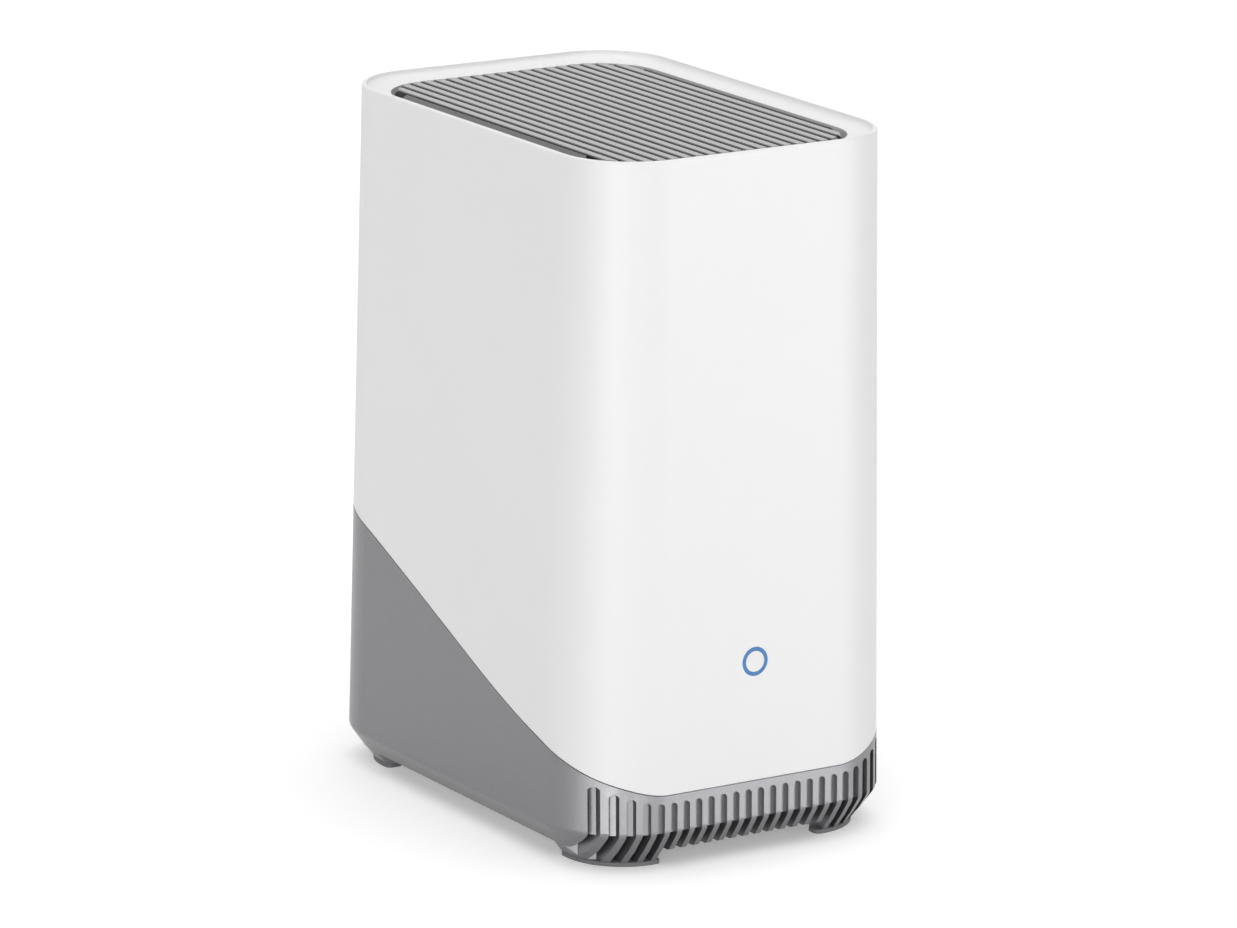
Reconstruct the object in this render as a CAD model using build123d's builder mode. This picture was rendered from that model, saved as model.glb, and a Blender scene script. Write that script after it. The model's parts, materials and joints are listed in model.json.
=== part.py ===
"""Security camera base station: a white tower on a grey vented base.

Millimetres. +Z is up, the front with its light ring faces -Y, and +X is to the
right of someone who looks at the front. The origin is the centre of the
footprint, on the surface that the feet stand on.
"""
import os
from math import cos, radians, sin, sqrt, tan

from build123d import *

os.makedirs("parts", exist_ok=True)

# Outer form
overall_height = 198.0
base_width = 105.4
base_depth = 150.2
corner_radius = 25.0
draft_angle = 1.04
draft_share = tan(radians(draft_angle))

# Walls, seams and general clearances
shell_wall = 2.2
base_wall = 3.8
floor_wall = 2.2
seam_gap = 0.3
lip_gap = 0.2
lip_rise = 3.0
fit_gap = 0.2
slide_gap = 0.25
screw_gap = 0.05
overrun = 10.0

# The curved seam between the white shell and the grey base, seen from the side
front_seam_height = 21.2
rear_seam_height = 79.5
seam_shares = (
    (-1.000, 0.000), (-0.965, 0.038), (-0.896, 0.084), (-0.771, 0.154),
    (-0.507, 0.264), (-0.065, 0.485), (0.234, 0.650), (0.542, 0.815),
    (0.670, 0.880), (0.832, 0.945), (1.000, 1.000),
)

# Bevel under the base, and its feet
bend_height = 10.6
underside_height = 4.4
bevel_inset = 4.5
bend_rounding = 3.0
underside_rounding = 1.2
pad_thickness = 1.2
pad_edge_rounding = 0.35
foot_inset = 7.2
foot_band = 5.2
foot_skin_gap = 0.1
foot_end_rounding = 1.8
foot_start_x = 25.6
foot_start_y = 46.5

# Vent slots that wrap round the front of the base, at the pitch of the grille's ribs
front_slot_side_margin = 4.0
rib_pitch = 4.05
front_slot_width = 2.35
front_slot_top_margin = 1.9
front_slot_depth = 1.5
floor_slot_count = 8
floor_slot_end_margin = 4.0
floor_slot_width = 2.4
floor_slot_pitch = 4.4

# Top rim, dish and grille
rim_width = 1.3
rim_rounding = 0.6
dish_depth = 2.4
opening_side_inset = 6.85
opening_end_inset = 7.65
opening_corner_radius = 17.2
dish_step_shares = (0.0, 0.28, 0.55, 0.8, 1.0)
ledge_drop = 4.1
ledge_width = 2.5
ledge_thickness = 2.0
grille_gap = 0.3
grille_slot_width = 1.15
grille_rib_rise = 0.5
grille_rib_rounding = 0.4
grille_side_flank = 2.6
grille_end_flank = 1.4
grille_ring_width = 3.4
grille_plate = 1.8
grille_bar_count = 3
grille_bar_width = 3.0
grille_skirt_drop = 3.0
grille_skirt_wall = 1.2

# Light ring in the front
ring_height = 55.5
ring_radius = 4.1
ring_stroke = 1.1
ring_flange_radius = 6.0
ring_flange_thickness = 1.5
ring_board_gap = 3.9
ring_board_width = 31.0
ring_board_height = 15.0
ring_board_thickness = 1.2
ring_post_radius = 2.5
ring_post_spacing = 24.0
ring_led_count = 4
ring_led_size = 1.6
ring_led_height = 0.8
ring_screw_grip_share = 0.75

# Screws: one size for the case, one for the boards
case_screw_radius = 1.45
case_screw_head_radius = 2.8
case_screw_head_height = 2.0
case_screw_length = 14.0
board_screw_radius = 1.2
board_screw_head_radius = 2.3
board_screw_head_height = 1.4
board_screw_length = 6.0

# Pillars that join the shell to the base
pillar_radius = 4.6
pillar_cap = 3.0
pillar_side_setback = 16.0
pillar_front_setback = 23.1
pillar_rear_setback = 27.1
pillar_above_seam = 4.0
front_pillar_seam_share = 0.23
shell_boss_length = 18.0

# Port window in the rear of the base, with the ports on one upright line
window_width = 28.0
window_low = 14.5
window_high = 75.5
window_rounding = 5.0
bezel_flange = 2.5
bezel_plate = 1.8
bezel_wall = 1.2
bezel_recess = 0.8
dc_height = 22.5
ethernet_height = 39.5
usb_height = 56.0
sync_height = 69.0

# Main board, standing upright beside the middle plane
board_thickness = 1.6
board_face_x = -6.7
board_height_share = 0.7656
board_low = 18.0
board_front_gap = 3.0
board_setback = 2.8
board_hole_inset = 5.0
board_hole_shares = ((0.0, 0.0), (0.0, 1.0), (1.0, 1.0), (0.72, 0.0))
standoff_radius = 3.4
standoff_length = 5.0

# Upright inner frame that carries the board and the antennas
frame_plate = 2.0
frame_front_gap = 2.0
frame_rear_setback = 5.0
frame_foot_low = 14.0
frame_foot_gap = 2.0
frame_screw_inset = 5.5
frame_boss_radius = 3.5

# Parts on the main board: shares of its length and height, and rise off the board
processor_size_shares = (0.174, 0.153)
processor_rise = 1.5
processor_place_shares = (0.56, 0.60)
thermal_pad_thickness = 1.0
heat_sink_size_shares = (0.488, 0.408)
heat_sink_plate = 3.0
heat_sink_fin_count = 9
heat_sink_fin_width = 1.2
heat_sink_fin_height = 13.0
heat_sink_pin_radius = 1.5
heat_sink_pin_inset = 3.2
heat_sink_pin_head_radius = 2.6
heat_sink_pin_head = 1.5
wifi_shield_size_shares = (0.279, 0.184)
wifi_shield_place_shares = (0.16, 0.79)
camera_shield_size_shares = (0.209, 0.143)
camera_shield_place_shares = (0.18, 0.57)
shield_rise = 2.5
shield_wall = 0.3
memory_size_shares = (0.105, 0.133)
memory_place_shares = ((0.42, 0.28), (0.56, 0.28))
storage_size_shares = (0.134, 0.133)
storage_place_shares = (0.28, 0.28)
chip_rise = 1.0
coil_size_shares = (0.081, 0.071)
coil_rise = 4.0
coil_place_shares = ((0.62, 0.13), (0.52, 0.13))
capacitor_radius_share = 0.037
capacitor_rise = 7.0
capacitor_place_shares = ((0.40, 0.10), (0.30, 0.10), (0.20, 0.10))

# Ports
ethernet_size = (21.0, 16.0, 13.4)
ethernet_socket = (13.0, 11.8, 8.4)
ethernet_latch = (6.2, 1.9)
ethernet_wire_count = 8
ethernet_wire_pitch = 1.02
ethernet_wire_width = 0.4
ethernet_wire_rise = 2.2
usb_size = (14.0, 13.2, 5.8)
usb_wall = 0.35
usb_tongue_size = (9.5, 11.2, 1.8)
usb_tongue_offset = 0.9
usb_riser_width = 11.0
dc_size = (14.0, 9.4, 11.4)
dc_bore_radius = 3.15
dc_bore_depth = 10.0
dc_pin_radius = 1.0
dc_pin_length = 9.0

# Sync button on its switch
sync_radius = 4.0
sync_flange_radius = 5.0
sync_flange_thickness = 1.0
sync_proud = 0.8
sync_crown_rounding = 0.5
sync_travel = 0.5
sync_plunger_radius = 1.7
sync_plunger_out = 1.1
sync_switch_size = (5.0, 7.0)
sync_switch_above = 3.4

# Speaker in its box, facing down to the floor slots
speaker_box_side_setback = 22.2
speaker_box_front_setback = 11.1
speaker_box_depth = 40.0
speaker_box_low = 22.0
speaker_box_high = 48.0
speaker_box_wall = 2.0
speaker_box_rounding = 5.0
speaker_lug_reach = 4.0
speaker_lug_setback = 10.0
speaker_lug_radius = 4.5
speaker_radius = 18.5
speaker_hole_radius = 17.0
speaker_flange = 1.2
speaker_gasket_thickness = 0.6
speaker_basket_height = 10.0
speaker_basket_wall = 1.0
speaker_basket_top_radius = 12.5
speaker_magnet_radius = 14.0
speaker_magnet_height = 7.0
speaker_cone_radius = 15.5
speaker_cone_depth = 6.0
speaker_cone_wall = 0.6
speaker_dust_cap_radius = 5.0
speaker_tab_width = 8.0
speaker_tab_reach = 16.3
speaker_tab_thickness = 1.5
speaker_wire_radius = 0.6
speaker_wire_pitch = 1.8
plug_length = 5.0
plug_height = 4.0

# Ribbon from the ring's board to the main board
ribbon_width = 6.0
ribbon_thickness = 0.3
ribbon_bend_radius = 12.0
ribbon_socket_depth = 2.0
ribbon_socket_margin = 0.5

# Antennas on a carrier that clips over the frame's top edge
antenna_roof_gap = 11.5
antenna_wall_gap = 8.8
carrier_grip = 8.0
carrier_crown = 4.0
carrier_length_share = 0.78
carrier_cheek = 3.0
carrier_arm_width = 8.0
carrier_arm_thickness = 4.0
antenna_thickness = 0.8
antenna_width = 24.0
antenna_height = 30.0
antenna_seat = 2.0
antenna_lead_radius = 0.6
antenna_lead_bend = 5.0
antenna_lead_rise = 5.0
antenna_plug_size = (3.0, 3.0, 1.6)
antenna_plug_drop = 10.0
antenna_plug_pitch = 5.0


def half_width_at(height):
    """Half of the body's width at one height, with the walls' draft."""
    return base_width / 2 - height * draft_share


def half_depth_at(height):
    """Half of the body's depth at one height, with the walls' draft."""
    return base_depth / 2 - height * draft_share


def outline(inset, height):
    """The body's rounded outline at one height, set in from its outer face."""
    with BuildSketch(Plane.XY.offset(height)) as section:
        RectangleRounded(
            2 * (half_width_at(height) - inset),
            2 * (half_depth_at(height) - inset),
            corner_radius - height * draft_share - inset,
        )
    return section.sketch


def reach_at(x, half_width, half_depth, corner):
    """How far a rounded outline reaches along Y at one X."""
    into_corner = min(max(abs(x) - (half_width - corner), 0), corner)
    return half_depth - corner + sqrt(corner**2 - into_corner**2)


def opening(height, side_gap=0.0, end_gap=0.0):
    """The grille's opening at one height, set in by gaps at its sides and ends."""
    with BuildSketch(Plane.XY.offset(height)) as section:
        RectangleRounded(
            2 * (opening_half_width - side_gap),
            2 * (opening_half_depth - end_gap),
            opening_corner_radius - side_gap,
        )
    return section.sketch


def dish_section(share):
    """One section of the dish, from the rim at share 0 to the opening at share 1."""
    height = overall_height - dish_depth * sin(radians(90 * share))
    spread = 1 - cos(radians(90 * share))
    side_inset = rim_width + spread * (opening_side_inset - rim_width)
    end_inset = rim_width + spread * (opening_end_inset - rim_width)
    rim_corner = corner_radius - height * draft_share - rim_width
    with BuildSketch(Plane.XY.offset(height)) as section:
        RectangleRounded(
            2 * (half_width_at(height) - side_inset),
            2 * (half_depth_at(height) - end_inset),
            rim_corner + spread * (opening_corner_radius - rim_corner),
        )
    return section.sketch


def seam_points(lift):
    """Points of the seam line, seen from the side, lifted by a little."""
    return [
        (base_depth / 2 * along, front_seam_height + seam_rise * up + lift)
        for along, up in seam_shares
    ]


def seam_height_at(y):
    """The seam's height at one place along the side."""
    points = seam_points(0)
    for (near, low), (far, high) in zip(points, points[1:]):
        if y <= far:
            return low + (high - low) * max(y - near, 0) / (far - near)
    return rear_seam_height


def side_region(lift, level):
    """A face in the side plane between the seam line, lifted, and a level."""
    points = seam_points(lift)
    reach = base_depth / 2 + overrun
    with BuildSketch(Plane.YZ) as side:
        with BuildLine():
            seam = Spline(*points)
            Polyline(
                seam @ 1,
                (reach, (seam @ 1).Y),
                (reach, level),
                (-reach, level),
                (-reach, (seam @ 0).Y),
                seam @ 0,
            )
        make_face()
    return side.sketch


def block(low, high, mode=Mode.ADD):
    """A plain block between its lowest and its highest corner."""
    sizes = [b - a for a, b in zip(low, high)]
    middle = [(a + b) / 2 for a, b in zip(low, high)]
    with Locations(tuple(middle)):
        Box(*sizes, mode=mode)


def rod(start, direction, radius, length, mode=Mode.ADD):
    """A round bar from its start, along a direction."""
    with Locations(Plane(origin=start, z_dir=direction)):
        Cylinder(radius, length, align=(Align.CENTER, Align.CENTER, Align.MIN), mode=mode)


def screw(head_top, direction, head_radius, head_height, radius, length):
    """A pan head screw: its head's outer face, then the way it points."""
    rod(head_top, direction, head_radius, head_height)
    neck = Vector(*head_top) + Vector(*direction) * head_height
    rod(tuple(neck), direction, radius, length)


down = (0, 0, -1)
up = (0, 0, 1)
to_front = (0, -1, 0)
to_rear = (0, 1, 0)
to_left = (-1, 0, 0)
to_right = (1, 0, 0)

# Heights and planes that several pieces share
dish_floor = overall_height - dish_depth
opening_half_width = half_width_at(dish_floor) - opening_side_inset
opening_half_depth = half_depth_at(dish_floor) - opening_end_inset
seam_rise = rear_seam_height - front_seam_height
ledge_height = overall_height - dish_depth - ledge_drop
roof_under = ledge_height - ledge_thickness
floor_top = underside_height + floor_wall
boss_low = floor_top - floor_wall / 2

# Pillars: their places, and the tops of the front and the rear pair
pillar_x = base_width / 2 - pillar_side_setback
front_pillar_y = pillar_front_setback - base_depth / 2
rear_pillar_y = base_depth / 2 - pillar_rear_setback
front_pillar_top = front_seam_height + seam_rise * front_pillar_seam_share + pillar_above_seam
rear_pillar_top = rear_seam_height + pillar_above_seam
pillars = [
    (side * pillar_x, y, top)
    for side in (-1, 1)
    for y, top in ((front_pillar_y, front_pillar_top), (rear_pillar_y, rear_pillar_top))
]

# Planes of the ports' bezel, behind the window in the rear wall
bezel_front_y = half_depth_at(window_high + bezel_flange) - base_wall - fit_gap
bezel_back_y = bezel_front_y - bezel_plate
port_face_y = bezel_front_y - fit_gap

# Speaker box, inner frame and board, one behind the other from front to rear
speaker_box_width = base_width - 2 * speaker_box_side_setback
speaker_box_front_y = speaker_box_front_setback - base_depth / 2
speaker_box_rear_y = speaker_box_front_y + speaker_box_depth
speaker_y = (speaker_box_front_y + speaker_box_rear_y) / 2
board_back_x = board_face_x - board_thickness
board_rear_y = bezel_back_y - board_setback
board_front_y = speaker_box_rear_y + board_front_gap
board_length = board_rear_y - board_front_y
frame_plate_x = board_back_x - standoff_length
frame_front_y = speaker_box_rear_y + frame_front_gap
frame_rear_y = board_rear_y - frame_rear_setback
frame_foot_reach = pillar_x - pillar_radius - frame_foot_gap

# Antennas, carrier, frame and board, one below the other from the roof down
antenna_low = roof_under - antenna_roof_gap - antenna_height
carrier_top = antenna_low + antenna_seat
frame_top = carrier_top - carrier_crown
carrier_low = frame_top - carrier_grip
board_height = (frame_top - board_low) * board_height_share
carrier_length = (frame_rear_y - frame_front_y) * carrier_length_share
carrier_centre_y = (frame_front_y + frame_rear_y) / 2
carrier_arm_reach = half_width_at(carrier_top) - shell_wall - antenna_wall_gap


# White shell
shell_front_y = -half_depth_at(ring_height)
ring_board_front_y = shell_front_y + shell_wall + ring_board_gap

with BuildPart() as top_shell:
    extrude(outline(0, 0), amount=overall_height, taper=draft_angle)
    fillet(top_shell.edges().group_by(Axis.Z)[-1], rim_rounding)
    extrude(outline(shell_wall, 0), amount=roof_under, taper=draft_angle, mode=Mode.SUBTRACT)
    loft([dish_section(share) for share in dish_step_shares], mode=Mode.SUBTRACT)
    extrude(opening(dish_floor), amount=-ledge_drop, mode=Mode.SUBTRACT)
    roof_opening = opening(ledge_height, ledge_width, ledge_width)
    extrude(roof_opening, amount=-ledge_thickness, mode=Mode.SUBTRACT)
    for x, y, top in pillars:
        low = top + fit_gap
        side = 1 if x > 0 else -1
        rod((x, y, low), up, pillar_radius, shell_boss_length)
        wall_x = side * (half_width_at(low + shell_boss_length) - shell_wall / 2)
        block(
            (min(x, wall_x), y - pillar_radius / 3, low),
            (max(x, wall_x), y + pillar_radius / 3, low + shell_boss_length),
        )
        rod((x, y, low), up, case_screw_radius + screw_gap, case_screw_length, mode=Mode.SUBTRACT)
    extrude(side_region(seam_gap / 2, -overrun), amount=base_width, both=True, mode=Mode.SUBTRACT)
    for side in (-1, 1):
        post = (side * ring_post_spacing / 2, shell_front_y + shell_wall / 2, ring_height)
        rod(post, to_rear, ring_post_radius, ring_board_gap + shell_wall / 2)
        pilot = (post[0], ring_board_front_y, ring_height)
        rod(pilot, to_front, board_screw_radius + screw_gap, ring_board_gap, mode=Mode.SUBTRACT)
    rod(
        (0, shell_front_y - overrun, ring_height),
        to_rear,
        ring_radius + screw_gap,
        2 * overrun,
        mode=Mode.SUBTRACT,
    )


# Grey base
base_block_height = rear_seam_height + overrun
with BuildPart() as base_body:
    extrude(outline(0, bend_height), amount=base_block_height, taper=draft_angle)
    loft([outline(bevel_inset, underside_height), outline(0, bend_height)], ruled=True)
    bend_edges = base_body.edges().filter_by_position(
        Axis.Z, bend_height - seam_gap, bend_height + seam_gap
    )
    fillet(bend_edges, bend_rounding)
    fillet(base_body.edges().group_by(Axis.Z)[0], underside_rounding)
    extrude(
        side_region(-seam_gap / 2, base_block_height + 2 * overrun),
        amount=base_width,
        both=True,
        mode=Mode.SUBTRACT,
    )

with BuildPart() as foot_zones:
    with BuildSketch():
        for side_x in (-1, 1):
            for side_y in (-1, 1):
                reach_x = base_width / 2 - foot_start_x
                reach_y = base_depth / 2 - foot_start_y
                with Locations((
                    side_x * (foot_start_x + reach_x / 2),
                    side_y * (foot_start_y + reach_y / 2),
                )):
                    Rectangle(reach_x, reach_y)
    extrude(amount=underside_height + floor_wall / 2)

def foot_end_edges(part):
    """The upright edges where a foot or its pad ends."""
    return [
        edge
        for edge in part.edges()
        if edge.bounding_box().size.Z > pad_thickness / 2
        and (
            abs(abs(edge.center().X) - foot_start_x) < foot_skin_gap
            or abs(abs(edge.center().Y) - foot_start_y) < foot_skin_gap
        )
    ]


with BuildPart() as feet:
    foot_top = underside_height + floor_wall / 2
    bevel_left_share = (bend_height - foot_top) / (bend_height - underside_height)
    loft(
        [
            outline(foot_inset, pad_thickness),
            outline(bevel_inset * bevel_left_share + foot_skin_gap, foot_top),
        ],
        ruled=True,
    )
    extrude(outline(foot_inset + foot_band, 0), amount=floor_top, mode=Mode.SUBTRACT)
    add(foot_zones.part, mode=Mode.INTERSECT)
    fillet(foot_end_edges(feet), foot_end_rounding)

front_slot_half_count = int((base_width / 2 - front_slot_side_margin) / rib_pitch)
front_slot_places = [
    side * (index + 1 / 2) * rib_pitch
    for side in (-1, 1)
    for index in range(front_slot_half_count)
]
with BuildPart() as front_grooves:
    with BuildSketch(Plane.XZ):
        for x in front_slot_places:
            slot_y = -reach_at(x, base_width / 2, base_depth / 2, corner_radius)
            slot_top = seam_height_at(slot_y) - front_slot_top_margin
            with Locations((x, 0)):
                SlotOverall(2 * slot_top, front_slot_width, rotation=90)
    extrude(amount=base_depth)
    extrude(
        outline(front_slot_depth, -overrun - rear_seam_height),
        amount=3 * overrun + 2 * rear_seam_height,
        taper=draft_angle,
        mode=Mode.SUBTRACT,
    )

with BuildPart() as front_openings:
    with BuildSketch(Plane.XZ):
        for x in front_slot_places:
            with Locations((x, 0)):
                Rectangle(front_slot_width, 2 * bend_height)
    extrude(amount=base_depth)
    fin_reach = foot_inset + foot_band
    extrude(
        outline(0, -overrun - bend_height).moved(Location((0, fin_reach, 0))),
        amount=2 * overrun + 2 * bend_height,
        mode=Mode.SUBTRACT,
    )

window_middle = (window_low + window_high) / 2
window_height = window_high - window_low
left_foot_middle = (frame_plate_x - frame_plate - frame_foot_reach) / 2
frame_screw_points = [
    (x, y)
    for x in (left_foot_middle, frame_foot_reach - frame_screw_inset)
    for y in (frame_front_y + frame_screw_inset, frame_rear_y - frame_screw_inset)
]
speaker_lugs = [
    (side * (speaker_box_width / 2 + speaker_lug_reach), speaker_box_rear_y - speaker_lug_setback)
    for side in (-1, 1)
]
floor_slot_length = speaker_box_width - 2 * floor_slot_end_margin

with BuildPart() as base_shell:
    extrude(outline(shell_wall + lip_gap, bend_height), amount=base_block_height, taper=draft_angle)
    extrude(
        side_region(lip_rise, base_block_height + 2 * overrun),
        amount=base_width,
        both=True,
        mode=Mode.SUBTRACT,
    )
    add(base_body.part)
    base_hollow = outline(base_wall, bend_height)
    extrude(base_hollow, amount=base_block_height, taper=draft_angle, mode=Mode.SUBTRACT)
    floor_share = (bend_height - floor_top) / (bend_height - underside_height)
    floor_corner_inset = base_wall + bevel_inset * floor_share
    loft(
        [outline(floor_corner_inset, floor_top), base_hollow],
        ruled=True,
        mode=Mode.SUBTRACT,
    )
    add(feet.part)
    add(front_grooves.part, mode=Mode.SUBTRACT)
    add(front_openings.part, mode=Mode.SUBTRACT)
    with BuildSketch(Plane.XY):
        with Locations((0, speaker_y)):
            with GridLocations(0, floor_slot_pitch, 1, floor_slot_count):
                SlotOverall(floor_slot_length, floor_slot_width)
    extrude(amount=floor_top + floor_wall, mode=Mode.SUBTRACT)
    with BuildSketch(Plane.XZ.offset(-base_depth / 2 - overrun)):
        with Locations((0, window_middle)):
            RectangleRounded(window_width, window_height, window_rounding)
    extrude(amount=3 * overrun, mode=Mode.SUBTRACT)
    for x, y, top in pillars:
        rod((x, y, boss_low), up, pillar_radius, top - boss_low)
        rod(
            (x, y, -overrun),
            up,
            case_screw_head_radius + slide_gap,
            top - pillar_cap + overrun,
            mode=Mode.SUBTRACT,
        )
        rod((x, y, 0), up, case_screw_radius + slide_gap, top + overrun, mode=Mode.SUBTRACT)
    frame_bosses = [(x, y, frame_foot_low) for x, y in frame_screw_points]
    speaker_bosses = [(x, y, speaker_box_low) for x, y in speaker_lugs]
    for x, y, top in frame_bosses + speaker_bosses:
        rod((x, y, boss_low), up, frame_boss_radius, top - boss_low)
        rod(
            (x, y, top),
            down,
            board_screw_radius + screw_gap,
            board_screw_length,
            mode=Mode.SUBTRACT,
        )

with BuildPart() as foot_pads:
    extrude(outline(foot_inset, 0), amount=pad_thickness)
    extrude(outline(foot_inset + foot_band, 0), amount=pad_thickness, mode=Mode.SUBTRACT)
    add(foot_zones.part, mode=Mode.INTERSECT)
    fillet(foot_end_edges(foot_pads), foot_end_rounding)
    fillet(foot_pads.edges().group_by(Axis.Z)[-1], pad_edge_rounding)

with BuildPart() as case_screws:
    for x, y, top in pillars:
        head_low = (x, y, top - pillar_cap - case_screw_head_height)
        screw(
            head_low,
            up,
            case_screw_head_radius,
            case_screw_head_height,
            case_screw_radius,
            case_screw_length,
        )


# Top grille: a ring plate, upright ribs with domed ends, cross bars and a skirt
grille_top = dish_floor + grille_rib_rise
grille_half_width = opening_half_width - grille_gap
grille_half_depth = opening_half_depth - grille_gap
grille_corner = opening_corner_radius - grille_gap
grille_rib_width = rib_pitch - grille_slot_width
grille_rib_count = 2 * int((grille_half_width - grille_rib_width / 2) / rib_pitch) + 1


with BuildPart() as grille_mound:
    flank_low = grille_top - grille_side_flank
    extrude(opening(ledge_height, grille_gap, grille_gap), amount=flank_low - ledge_height)
    loft(
        [
            opening(flank_low, grille_gap, grille_gap),
            opening(grille_top, grille_gap + grille_side_flank, grille_gap + grille_end_flank),
        ],
        ruled=True,
    )

with BuildPart() as grille_ribs:
    with BuildSketch(Plane.XY.offset(ledge_height)):
        for index in range(grille_rib_count):
            x = (index - (grille_rib_count - 1) / 2) * rib_pitch
            rib_edge = abs(x) + grille_rib_width / 2
            reach = reach_at(rib_edge, grille_half_width, grille_half_depth, grille_corner)
            with Locations((x, 0)):
                SlotOverall(2 * reach, grille_rib_width, rotation=90)
    extrude(amount=grille_top - ledge_height)
    fillet(grille_ribs.edges().group_by(Axis.Z)[-1], grille_rib_rounding)
    add(grille_mound.part, mode=Mode.INTERSECT)

with BuildPart() as top_grille:
    ring_inner_gap = grille_gap + grille_ring_width
    extrude(opening(ledge_height, grille_gap, grille_gap), amount=grille_plate)
    extrude(
        opening(ledge_height, ring_inner_gap, ring_inner_gap),
        amount=grille_plate,
        mode=Mode.SUBTRACT,
    )
    skirt_gap = ledge_width + fit_gap
    skirt_inner_gap = skirt_gap + grille_skirt_wall
    skirt_low = ledge_height - grille_skirt_drop
    skirt_height = grille_skirt_drop + grille_plate
    extrude(opening(skirt_low, skirt_gap, skirt_gap), amount=skirt_height)
    extrude(
        opening(skirt_low, skirt_inner_gap, skirt_inner_gap),
        amount=skirt_height,
        mode=Mode.SUBTRACT,
    )
    bar_span = grille_half_depth * 2 / (grille_bar_count + 1)
    bar_reach = grille_half_width - grille_ring_width / 2
    for index in range(grille_bar_count):
        y = (index + 1) * bar_span - grille_half_depth
        block(
            (-bar_reach, y - grille_bar_width / 2, ledge_height),
            (bar_reach, y + grille_bar_width / 2, ledge_height + grille_plate),
        )
    add(grille_ribs.part)


# Light ring, its centre and its board
with BuildPart() as light_ring:
    flange_front = (0, shell_front_y + shell_wall + fit_gap, ring_height)
    rod((0, shell_front_y, ring_height), to_rear, ring_radius, shell_wall + fit_gap)
    rod(flange_front, to_rear, ring_flange_radius, ring_flange_thickness)
    rod(
        (0, shell_front_y, ring_height),
        to_rear,
        ring_radius - ring_stroke,
        shell_wall + fit_gap,
        mode=Mode.SUBTRACT,
    )

with BuildPart() as ring_centre:
    rod(
        (0, shell_front_y, ring_height),
        to_rear,
        ring_radius - ring_stroke - screw_gap,
        shell_wall + fit_gap,
    )

with BuildPart() as ring_light_board:
    board_back_y = ring_board_front_y + ring_board_thickness
    block(
        (-ring_board_width / 2, ring_board_front_y, ring_height - ring_board_height / 2),
        (ring_board_width / 2, board_back_y, ring_height + ring_board_height / 2),
    )
    for side in (-1, 1):
        rod(
            (side * ring_post_spacing / 2, ring_board_front_y, ring_height),
            to_rear,
            board_screw_radius + slide_gap,
            ring_board_thickness,
            mode=Mode.SUBTRACT,
        )

with BuildPart() as ring_board_screws:
    for side in (-1, 1):
        screw(
            (side * ring_post_spacing / 2, board_back_y + board_screw_head_height, ring_height),
            to_front,
            board_screw_head_radius,
            board_screw_head_height,
            board_screw_radius,
            ring_board_thickness + ring_board_gap * ring_screw_grip_share,
        )

with BuildPart() as ring_leds:
    with Locations(Plane(origin=(0, ring_board_front_y, ring_height), z_dir=to_front)):
        with PolarLocations(ring_radius - ring_stroke / 2, ring_led_count):
            Box(
                ring_led_size,
                ring_led_size,
                ring_led_height,
                align=(Align.CENTER, Align.CENTER, Align.MIN),
            )


# Port bezel: a shallow tray in the rear window
tray_front_y = half_depth_at(window_high) - bezel_recess

with BuildPart() as port_bezel:
    with BuildSketch(Plane.XZ.offset(-bezel_front_y)):
        with Locations((0, window_middle)):
            RectangleRounded(
                window_width + 2 * bezel_flange,
                window_height + 2 * bezel_flange,
                window_rounding + bezel_flange,
            )
    extrude(amount=bezel_plate)
    with BuildSketch(Plane.XZ.offset(-tray_front_y)):
        with Locations((0, window_middle)):
            RectangleRounded(
                window_width - 2 * fit_gap, window_height - 2 * fit_gap, window_rounding - fit_gap
            )
            RectangleRounded(
                window_width - 2 * fit_gap - 2 * bezel_wall,
                window_height - 2 * fit_gap - 2 * bezel_wall,
                window_rounding - fit_gap - bezel_wall,
                mode=Mode.SUBTRACT,
            )
    extrude(amount=tray_front_y - bezel_front_y)
    with BuildSketch(Plane.XZ.offset(-bezel_front_y)):
        ethernet_centre_x = board_face_x + ethernet_size[2] / 2
        with Locations((ethernet_centre_x, ethernet_height)):
            Rectangle(ethernet_size[2] + 2 * slide_gap, ethernet_size[1] + 2 * slide_gap)
        with Locations((0, usb_height)):
            Rectangle(usb_size[2] + 2 * slide_gap, usb_size[1] + 2 * slide_gap)
        with Locations((0, dc_height)):
            Circle(dc_bore_radius + bezel_wall)
        with Locations((0, sync_height)):
            Circle(sync_radius + slide_gap)
    extrude(amount=bezel_plate, mode=Mode.SUBTRACT)


# Inner frame, board and their screws
board_holes = [
    (
        board_front_y + board_hole_inset + along * (board_length - 2 * board_hole_inset),
        board_low + board_hole_inset + rise * (board_height - 2 * board_hole_inset),
    )
    for along, rise in board_hole_shares
]

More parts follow.
